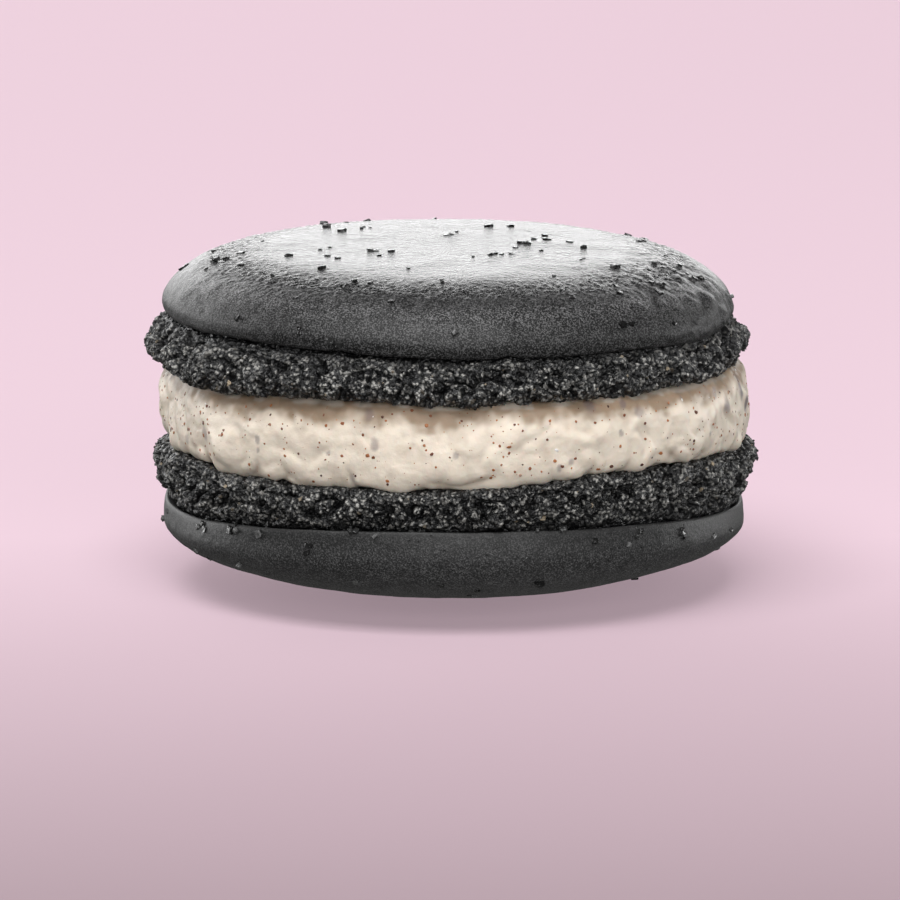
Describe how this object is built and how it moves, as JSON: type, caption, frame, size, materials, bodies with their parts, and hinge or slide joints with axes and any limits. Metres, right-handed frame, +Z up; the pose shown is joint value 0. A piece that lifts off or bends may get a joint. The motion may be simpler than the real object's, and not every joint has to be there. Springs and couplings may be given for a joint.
{
  "type": "french macaron",
  "caption": "French macaron: two charcoal-grey domed almond shells with ruffled feet, pressed together on a thick round of speckled cream.",
  "frame": {"origin": "on the surface that the macaron stands on, under the middle of the stack", "axes": "+Z up through the stack from the lower shell to the upper one; -Y is the side that the picture shows; +X is to its right"},
  "size_m": [0.0451, 0.045, 0.0254],
  "materials": {
    "shell": "baked almond meringue, matte, charcoal grey",
    "cream": "soft whipped cream with brown specks, satin",
    "sugar": "glossy black sugar crystals"
  },
  "bodies": {
    "root": {"lower_shell": "shell", "cream_filling": "cream", "upper_shell": "shell"}
  },
  "joints": []
}
